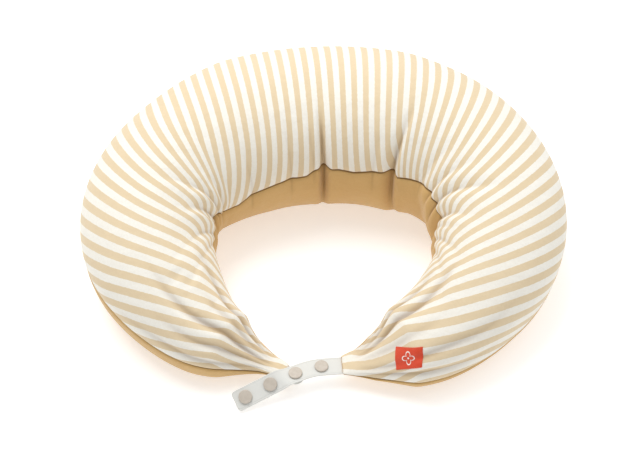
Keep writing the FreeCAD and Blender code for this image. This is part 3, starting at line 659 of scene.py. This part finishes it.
def tape_piece(name, frames, distances, half_widths, columns):
    """A woven tape from its middles, sideways directions and half widths, with UVs in metres."""
    rows = len(frames) - 1
    bm = bmesh.new()
    bmesh.ops.create_grid(bm, x_segments=rows, y_segments=columns, size=1.0)
    uv = bm.loops.layers.uv.new("tape")
    for face in bm.faces:
        face.smooth = True
        for loop in face.loops:
            row = round((loop.vert.co.x + 1) / 2 * rows)
            loop[uv].uv = (distances[row], loop.vert.co.y * half_widths[0])
    for vert in bm.verts:
        row = round((vert.co.x + 1) / 2 * rows)
        middle, across = frames[row]
        vert.co = middle + across * (vert.co.y * half_widths[row])
    bmesh.ops.solidify(bm, geom=bm.faces[:], thickness=TAPE_WALL)
    bmesh.ops.recalc_face_normals(bm, faces=bm.faces[:])
    mesh = bpy.data.meshes.new(name)
    bm.to_mesh(mesh)
    bm.free()
    piece = add_piece(name, mesh)
    soft_edge = piece.modifiers.new("edge", "BEVEL")
    soft_edge.width, soft_edge.segments = 0.0005, 2
    soft_edge.limit_method, soft_edge.angle_limit = "ANGLE", math.radians(50)
    return piece


def rounded_half(distance, half, length, corner):
    """Half width of a tape whose far corners are rounded."""
    into = min(max((distance - (length - corner)) / corner, 0.0), 0.999)
    return half - corner * (1 - math.sqrt(1 - into * into))


strap_steps = list(np.linspace(-STRAP_ROOT, STRAP_LENGTH - END_CORNER, 84))
strap_steps += [STRAP_LENGTH - END_CORNER * (1 - math.sin(math.radians(turn))) for turn in range(12, 91, 13)]
strap_halves = [rounded_half(step, STRAP_WIDTH / 2, STRAP_LENGTH, END_CORNER) for step in strap_steps]
closing_strap = tape_piece("closing_strap", strap_frames(strap_steps), strap_steps, strap_halves, 12)
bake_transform(closing_strap, "pillow", "strap", start=(0.0064, -0.202, 0.023), end=(-0.0036, -0.202, 0.023))
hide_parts("strap_tape", "strap_root")
print("strap:", len(closing_strap.data.vertices), "vertices")

# %% [markdown]
# ## The short tab
# A second, shorter piece of the same tape leaves the left tail and carries the stud that the strap
# closes on. Its end is rounded round the stud.

# %% Lay the tab
TAB_WIDTH = 0.020
TAB_ROOT = 0.012
STUD = Vector((-0.04857, -0.20903, 0))


def make_tab():
    """The tab, from inside the left tail to past its stud."""
    tip, outward, forward = LEFT.at(LEFT.length)
    way = (STUD - tip).normalized()
    reach = (STUD - tip).length
    length = reach + TAB_WIDTH / 2
    steps = list(np.linspace(-TAB_ROOT, reach, 14))
    steps += [reach + TAB_WIDTH / 2 * math.sin(math.radians(turn)) for turn in range(9, 91, 9)]
    halves = [rounded_half(step, TAB_WIDTH / 2, length, TAB_WIDTH / 2) for step in steps]
    across = Vector((0, 0, 1)).cross(way)
    base = Vector((tip.x, tip.y, TAB_LEVEL))
    tab = tape_piece("closing_tab", [(base + way * step, across) for step in steps], steps, halves, 10)
    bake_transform(tab, "pillow", "tab", start=tuple(base + way * 0.0008), end=tuple(base + way * 0.0054))
    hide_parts("tab_tape", "tab_root")
    return tab


closing_tab = make_tab()
print("tab:", len(closing_tab.data.vertices), "vertices")

# %% [markdown]
# ## The label
# A small woven label is sewn on the front slope of the right tail. It is stiffer than the jersey, so
# it is laid over the finished cover, smoothed, and kept just above the cloth.

# %% Lay the label on the cover
# These four points were not worked out from the frame. A helper script outside this lesson found
# them beforehand, by casting rays onto the CAD cover, and they were copied here.
LABEL_CORNERS = [Vector((0.0622, -0.2061, 0.0592)), Vector((0.0939, -0.2177, 0.0732)),
                 Vector((0.0642, -0.2244, 0.0390)), Vector((0.0946, -0.2310, 0.0525))]
LABEL_WALL = 0.0007
LABEL_SMOOTHING = 6


def cover_tree():
    """A search tree over the finished top panel."""
    shaped = cover_top_panel.evaluated_get(bpy.context.evaluated_depsgraph_get())
    mesh = shaped.to_mesh()
    tree = BVHTree.FromPolygons([vert.co.copy() for vert in mesh.vertices],
                                [tuple(face.vertices) for face in mesh.polygons])
    shaped.to_mesh_clear()
    return tree


def make_label():
    """The label: a grid dropped onto the cover along its own normal, then smoothed."""
    tree = cover_tree()
    top_left, top_right, low_left, low_right = LABEL_CORNERS
    facing = (top_right - top_left).cross(top_left - low_left).normalized()
    bm = bmesh.new()
    bmesh.ops.create_grid(bm, x_segments=26, y_segments=18, size=1.0)
    uv = bm.loops.layers.uv.new("label")
    for face in bm.faces:
        face.smooth = True
        for loop in face.loops:
            loop[uv].uv = (loop.vert.co.x / 2 + 0.5, loop.vert.co.y / 2 + 0.5)
    for vert in bm.verts:
        across, up = vert.co.x / 2 + 0.5, vert.co.y / 2 + 0.5
        flat = low_left.lerp(low_right, across).lerp(top_left.lerp(top_right, across), up)
        hit = tree.ray_cast(flat + facing * 0.03, -facing, 0.06)
        vert.co = hit[0] if hit[0] is not None else flat
    for turn in range(LABEL_SMOOTHING):
        bmesh.ops.smooth_vert(bm, verts=bm.verts, factor=0.5,
                              use_axis_x=True, use_axis_y=True, use_axis_z=True)
    for vert in bm.verts:
        hit = tree.ray_cast(vert.co + facing * 0.03, -facing, 0.06)
        ground = 0.0 if hit[0] is None else (hit[0] - vert.co).dot(facing)
        vert.co += facing * (max(ground, 0.0) + 0.0006)
    bmesh.ops.solidify(bm, geom=bm.faces[:], thickness=LABEL_WALL)
    bmesh.ops.recalc_face_normals(bm, faces=bm.faces[:])
    mesh = bpy.data.meshes.new("sewn_label")
    bm.to_mesh(mesh)
    bm.free()
    label = add_piece("sewn_label", mesh)
    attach(label, "pillow")
    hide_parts("woven_label")
    return label


sewn_label = make_label()
print("label:", len(sewn_label.data.vertices), "vertices")

# %% [markdown]
# ## Finishes
# All the cloths are built from a few helpers that add shader nodes. Patterns that belong to the cloth
# read the flat crescent's coordinates, so they bend with it. Everything else reads object
# coordinates. Knit, weave and small creases are bumps, and slow noise keeps each colour from being flat.

# %% Helpers for shader nodes
class Finish:
    """A material under construction, with short ways to add and join its nodes."""

    def __init__(self, name, colour, roughness):
        self.material = bpy.data.materials.new(name)
        self.material.use_nodes = True
        self.tree = self.material.node_tree
        self.shader = self.tree.nodes["Principled BSDF"]
        self.material.diffuse_color = (*colour, 1)
        self.shader.inputs["Base Color"].default_value = (*colour, 1)
        self.shader.inputs["Roughness"].default_value = roughness

    def add(self, kind, **values):
        """Add a node and set its properties."""
        node = self.tree.nodes.new(kind)
        for key, value in values.items():
            setattr(node, key, value)
        return node

    def put(self, socket, value):
        """Join an output to a socket, or set the socket's own value."""
        if isinstance(value, bpy.types.NodeSocket):
            self.tree.links.new(value, socket)
        else:
            socket.default_value = value

    def maths(self, operation, first, second=0.0, clamp=False):
        """One Math node."""
        node = self.add("ShaderNodeMath", operation=operation, use_clamp=clamp)
        self.put(node.inputs[0], first)
        self.put(node.inputs[1], second)
        return node.outputs[0]

    def step(self, value, low, high):
        """A smooth step from 0 to 1 between two values."""
        node = self.add("ShaderNodeMapRange", interpolation_type="SMOOTHSTEP")
        self.put(node.inputs["Value"], value)
        self.put(node.inputs["From Min"], low)
        self.put(node.inputs["From Max"], high)
        return node.outputs[0]

    def blend(self, share, first, second, mode="MIX"):
        """Mix two colours by a share."""
        node = self.add("ShaderNodeMix", data_type="RGBA", blend_type=mode)
        self.put(node.inputs[0], share)
        self.put(node.inputs[6], first if isinstance(first, bpy.types.NodeSocket) else (*first, 1))
        self.put(node.inputs[7], second if isinstance(second, bpy.types.NodeSocket) else (*second, 1))
        return node.outputs[2]

    def place(self):
        """Object coordinates."""
        return self.add("ShaderNodeTexCoord").outputs["Object"]

    def uv(self, name):
        """The two coordinates of a UV map."""
        node = self.add("ShaderNodeSeparateXYZ")
        self.put(node.inputs[0], self.add("ShaderNodeUVMap", uv_map=name).outputs[0])
        return node.outputs[0], node.outputs[1]

    def attribute(self, name):
        """A value kept on the mesh's vertices."""
        return self.add("ShaderNodeAttribute", attribute_name=name, attribute_type="GEOMETRY").outputs["Fac"]

    def noise(self, scale, detail=3.0):
        """Noise in object coordinates, with a scale per metre."""
        node = self.add("ShaderNodeTexNoise")
        self.put(node.inputs["Vector"], self.place())
        self.put(node.inputs["Scale"], scale)
        self.put(node.inputs["Detail"], detail)
        return node.outputs[0]

    def wave(self, value, pitch):
        """A cosine wave from 0 to 1 along a coordinate in metres."""
        turned = self.maths("COSINE", self.maths("MULTIPLY", value, 2 * math.pi / pitch))
        return self.maths("ADD", self.maths("MULTIPLY", turned, 0.5), 0.5)

    def bump(self, height, distance, strength=1.0, under=None):
        """Add a bump, on top of an earlier one if there is one."""
        node = self.add("ShaderNodeBump")
        node.inputs["Strength"].default_value = strength
        node.inputs["Distance"].default_value = distance
        self.put(node.inputs["Height"], height)
        if under is not None:
            self.put(node.inputs["Normal"], under)
        self.put(self.shader.inputs["Normal"], node.outputs[0])
        return node.outputs[0]

    def colour(self, value):
        """Join a colour to the shader."""
        self.put(self.shader.inputs["Base Color"], value)

    def sheen(self, weight, tint):
        """Soft fuzz, as on cotton."""
        self.shader.inputs["Sheen Weight"].default_value = weight
        self.shader.inputs["Sheen Roughness"].default_value = 0.5
        self.shader.inputs["Sheen Tint"].default_value = (*tint, 1)


def linear(code):
    """A colour's linear values from its usual hexadecimal code."""
    values = [int(code[i:i + 2], 16) / 255 for i in (0, 2, 4)]
    return tuple(v / 12.92 if v <= 0.04045 else ((v + 0.055) / 1.055) ** 2.4 for v in values)


def dress(finish, *pieces):
    """Give a finish to pieces or to the CAD nodes of those names."""
    for piece in pieces:
        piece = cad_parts[piece] if isinstance(piece, str) else piece
        piece.data.materials.clear()
        piece.data.materials.append(finish.material)


print("helpers ready")

# %% [markdown]
# ## Jersey
# Cotton jersey shows fine vertical ribs of stitches, a soft fuzz and slight mottling. The stripes
# are knitted in, about 8 mm each, with edges that waver by a stitch. The seam is a darker line,
# because thread and the pull of the stitches gather there, with a painted shadow along it. Painted
# shade also darkens the bottoms of the deep folds and the gaps between the stitches.

# %% Make the two jerseys
STRIPE_PITCH = 0.0152
RIB_PITCH = 0.0012
COURSE_PITCH = 0.0015
CREAM, BEIGE = linear("F3F1E9"), linear("DFCBA8")
TAN, TAN_DARK = linear("D3AE72"), linear("AE8044")
# Colours of the seam line, thread with a painted shadow, and of the painted shade in the folds.
SEAM_SHADE, CREASE_SHADE = linear("8F6B3C"), linear("7A5326")


def jersey(name, base):
    """A knit's fuzz and bumps: ribs of stitches and small creases."""
    finish = Finish(name, base, 0.92)
    finish.sheen(0.25, (1.0, 0.97, 0.90))
    across, along = finish.uv("cloth")
    rib = finish.wave(across, RIB_PITCH)
    course = finish.wave(along, COURSE_PITCH)
    knit = finish.maths("MULTIPLY", rib, finish.maths("ADD", finish.maths("MULTIPLY", course, 0.4), 0.6))
    soft = finish.bump(finish.noise(55, 2.0), 0.0022, 0.55)
    soft = finish.bump(finish.noise(190, 2.0), 0.0007, 0.5, soft)
    finish.bump(knit, 0.00018, 0.35, soft)
    return finish, across, along, knit


def finish_seam(finish, colour, knit, shade, seam_width, crease_share):
    """Mottle a colour, paint shade between the stitches and in the fold bottoms, and darken it along the
    seam with thread colour and a painted shadow.
    """
    mottle = finish.step(finish.noise(420, 4.0), 0.25, 0.75)
    colour = finish.blend(finish.maths("MULTIPLY", mottle, 0.10), colour, shade)
    # Painted shade between the stitches, in the same darker colour as the mottling.
    colour = finish.blend(finish.maths("MULTIPLY", finish.maths("SUBTRACT", 1.0, knit), 0.05), colour, shade)
    # The seam line: thread colour with a painted shadow in its groove.
    gap = finish.attribute("seam_gap")
    near = finish.maths("SUBTRACT", 1.0, finish.step(gap, 0.0003, seam_width))
    # Painted shade in the bottoms of the deep folds and of the tails' long folds.
    painted_crease_shade = finish.attribute("painted_crease_shade")
    colour = finish.blend(finish.maths("MULTIPLY", painted_crease_shade, crease_share, clamp=True), colour, CREASE_SHADE)
    finish.colour(finish.blend(finish.maths("MULTIPLY", near, 0.75), colour, SEAM_SHADE))


def striped_jersey():
    """Cream jersey with beige stripes."""
    finish, across, along, knit = jersey("striped_jersey_cloth", CREAM)
    waver = finish.maths("MULTIPLY", finish.noise(300, 2.0), 0.0010)
    at = finish.maths("DIVIDE", finish.maths("ADD", across, waver), STRIPE_PITCH)
    band = finish.maths("ABSOLUTE", finish.maths("SUBTRACT", finish.maths("FRACT", at), 0.5))
    stripe = finish.step(band, 0.235, 0.265)
    slow = finish.step(finish.noise(9, 2.0), 0.3, 0.7)
    beige = finish.blend(finish.maths("MULTIPLY", slow, 0.35), BEIGE, linear("E5D3B4"))
    cream = finish.blend(finish.maths("MULTIPLY", slow, 0.25), CREAM, linear("EBE6D9"))
    finish_seam(finish, finish.blend(stripe, cream, beige), knit, linear("CDB28C"), 0.0011, 0.62)
    return finish


def plain_jersey():
    """Tan jersey."""
    finish, across, along, knit = jersey("tan_jersey_cloth", TAN)
    slow = finish.step(finish.noise(12, 3.0), 0.3, 0.7)
    tan = finish.blend(finish.maths("MULTIPLY", slow, 0.35), TAN, linear("C99F62"))
    finish_seam(finish, tan, knit, TAN_DARK, 0.0008, 0.85)
    return finish


dress(striped_jersey(), cover_top_panel)
dress(plain_jersey(), cover_bottom_panel)
print("stripes every", STRIPE_PITCH, "m, ribs every", RIB_PITCH, "m")

# %% [markdown]
# ## Webbing, label, plastics and metal
# The strap and tab are a smooth off-white tape with fine ribs, hemmed edges and a line of stitches.
# The snaps are satin plastic, a touch warmer than the strap. The zip has a twill tape, a plastic
# coil and a metal slider. The label is a red satin weave with a plain four-petal flower.

# %% Make the small finishes
OFF_WHITE, RIB_SHADE = linear("E1E1DC"), linear("CFCFC9")
CAP_COLOUR, CAP_SHADE = linear("C9BFB2"), linear("B3A899")
LABEL_RED, LABEL_DEEP, LABEL_THREAD = linear("E0441C"), linear("BE3210"), linear("F6EEE6")


def webbing():
    """Off-white tape with ribs across it and a stitch line near each edge."""
    finish = Finish("strap_tape_weave", OFF_WHITE, 0.72)
    finish.sheen(0.2, (1, 1, 1))
    along, across = finish.uv("tape")
    rib = finish.wave(along, 0.0010)
    twill = finish.wave(finish.maths("ADD", along, across), 0.0016)
    edge = finish.maths("ABSOLUTE", finish.maths("SUBTRACT", finish.maths("ABSOLUTE", across), 0.0096))
    hem = finish.maths("SUBTRACT", 1.0, finish.step(edge, 0.0002, 0.0006))
    weave = finish.maths("ADD", finish.maths("MULTIPLY", rib, 0.6), finish.maths("MULTIPLY", twill, 0.4))
    shadow = finish.maths("MULTIPLY", finish.maths("SUBTRACT", 1.0, weave), 0.25)
    colour = finish.blend(shadow, OFF_WHITE, RIB_SHADE)
    finish.colour(finish.blend(finish.maths("MULTIPLY", hem, 0.35), colour, RIB_SHADE))
    soft = finish.bump(finish.noise(120, 2.0), 0.0006, 0.4)
    soft = finish.bump(hem, -0.0003, 0.6, soft)
    finish.bump(weave, 0.00015, 0.6, soft)
    return finish


def label_weave():
    """Red satin with a white outline of a simple flower round a white middle."""
    finish = Finish("label_satin", LABEL_RED, 0.45)
    finish.sheen(0.1, (1, 0.7, 0.5))
    across, up = finish.uv("label")
    x = finish.maths("MULTIPLY", finish.maths("SUBTRACT", across, 0.5), 1.35)
    y = finish.maths("SUBTRACT", up, 0.5)
    squares = finish.maths("ADD", finish.maths("MULTIPLY", x, x), finish.maths("MULTIPLY", y, y))
    radius = finish.maths("SQRT", squares)
    turn = finish.maths("ARCTAN2", y, x)
    petals = finish.maths("ABSOLUTE", finish.maths("COSINE", finish.maths("MULTIPLY", turn, 2.0)))
    outline = finish.maths("ADD", finish.maths("MULTIPLY", petals, 0.16), 0.12)
    gap = finish.maths("ABSOLUTE", finish.maths("SUBTRACT", radius, outline))
    flower = finish.maths("SUBTRACT", 1.0, finish.step(gap, 0.016, 0.032))
    middle = finish.maths("SUBTRACT", 1.0, finish.step(radius, 0.035, 0.05))
    motif = finish.maths("MAXIMUM", flower, middle)
    weave = finish.wave(finish.maths("ADD", across, finish.maths("MULTIPLY", up, 0.7)), 0.018)
    red = finish.blend(finish.maths("MULTIPLY", weave, 0.35), LABEL_RED, LABEL_DEEP)
    finish.colour(finish.blend(motif, red, LABEL_THREAD))
    soft = finish.bump(weave, 0.00012, 0.6)
    finish.bump(motif, 0.0002, 0.7, soft)
    return finish


def moulded(name, colour, shade, roughness):
    """Satin plastic with a faint grain and slow colour change."""
    finish = Finish(name, colour, roughness)
    finish.shader.inputs["Coat Weight"].default_value = 0.15
    finish.shader.inputs["Coat Roughness"].default_value = 0.35
    mottle = finish.maths("MULTIPLY", finish.step(finish.noise(260), 0.3, 0.7), 0.4)
    finish.colour(finish.blend(mottle, colour, shade))
    finish.bump(finish.noise(2600, 2.0), 0.00005, 0.5)
    return finish


def woven(name, colour, shade, pitch):
    """A plain cloth with a diagonal weave in object coordinates."""
    finish = Finish(name, colour, 0.85)
    finish.sheen(0.2, (1, 1, 1))
    split = finish.add("ShaderNodeSeparateXYZ")
    finish.put(split.inputs[0], finish.place())
    weave = finish.wave(finish.maths("ADD", split.outputs[0], split.outputs[2]), pitch)
    finish.colour(finish.blend(finish.maths("MULTIPLY", weave, 0.4), colour, shade))
    finish.bump(weave, 0.00015, 0.6)
    return finish


def metal(name, colour):
    """Brushed zip metal."""
    finish = Finish(name, colour, 0.32)
    finish.shader.inputs["Metallic"].default_value = 1.0
    grain = finish.noise(1800, 2.0)
    roughness = finish.maths("ADD", finish.maths("MULTIPLY", grain, 0.2), 0.22)
    finish.put(finish.shader.inputs["Roughness"], roughness)
    finish.bump(grain, 0.00003, 0.5)
    return finish


cap_plastic = moulded("snap_cap_plastic", CAP_COLOUR, CAP_SHADE, 0.45)
socket_plastic = moulded("snap_socket_plastic", linear("D6D0C6"), linear("BDB5A8"), 0.4)
tape_twill = woven("zip_tape_twill", linear("C9A468"), linear("A98248"), 0.0012)
coil_plastic = moulded("zip_coil_plastic", linear("BE9656"), linear("9C7740"), 0.4)
slider_metal = metal("zip_slider_metal", linear("C8BFAE"))
dress(webbing(), closing_strap, closing_tab)
dress(label_weave(), sewn_label)
dress(cap_plastic, *[f"snap_cap_{number}" for number in range(1, 5)], "tab_stud_cap")
dress(socket_plastic, *[f"snap_socket_{number}" for number in range(1, 5)], "tab_stud")
dress(tape_twill, "zip_tape_upper", "zip_tape_lower")
dress(coil_plastic, "zip_coil_upper", "zip_coil_lower")
dress(slider_metal, "zip_slider", "zip_pull", "zip_top_stop", "zip_bottom_stop")
dress(woven("casing_cotton", linear("F2EFE8"), linear("D8D4CA"), 0.0010), casing)
dress(moulded("fibre_white", linear("F7F6F3"), linear("E2E0DA"), 0.95), filling)
print(len(bpy.data.materials), "materials")

# %% [markdown]
# ## Light and floor
# The pillow stands on a plain white floor in a bright room. A large soft light above, behind and to
# the left gives the tube its form, a weaker one fills the right, and the white surroundings keep
# every shadow pale.

# %% Light the pillow
FLOOR_GLOW = 0.45


def area_light(name, place, aim, energy, size):
    """A large soft light that points at a place."""
    data = bpy.data.lights.new(name, "AREA")
    data.energy, data.size = energy, size
    light = bpy.data.objects.new(name, data)
    bpy.context.scene.collection.objects.link(light)
    light.location = place
    light.rotation_euler = (Vector(aim) - Vector(place)).to_track_quat("-Z", "Y").to_euler()


def make_floor():
    """A plain white floor."""
    bm = bmesh.new()
    bmesh.ops.create_grid(bm, x_segments=1, y_segments=1, size=12.0)
    mesh = bpy.data.meshes.new("floor")
    bm.to_mesh(mesh)
    bm.free()
    floor = add_piece("floor", mesh)
    white = Finish("floor_white", (0.80, 0.80, 0.80), 0.9)
    white.shader.inputs["Emission Color"].default_value = (1, 1, 1, 1)
    white.shader.inputs["Emission Strength"].default_value = FLOOR_GLOW
    dress(white, floor)


def make_world(strength):
    """Plain white surroundings."""
    world = bpy.data.worlds.new("surroundings")
    bpy.context.scene.world = world
    world.use_nodes = True
    background = world.node_tree.nodes["Background"]
    background.inputs["Color"].default_value = (1, 1, 1, 1)
    background.inputs["Strength"].default_value = strength


make_floor()
make_world(0.54)
area_light("key", (-0.5, 0.55, 1.8), (0.0, 0.0, 0.05), 26, 1.3)
area_light("fill", (1.1, 0.2, 1.3), (0.0, 0.0, 0.05), 6, 1.4)
bpy.context.scene.view_settings.view_transform = "Standard"
print("lights and floor ready")

# %% [markdown]
# ## Finish
# The last cell prints that the scene is built.

# %% Finish
print("scene built")
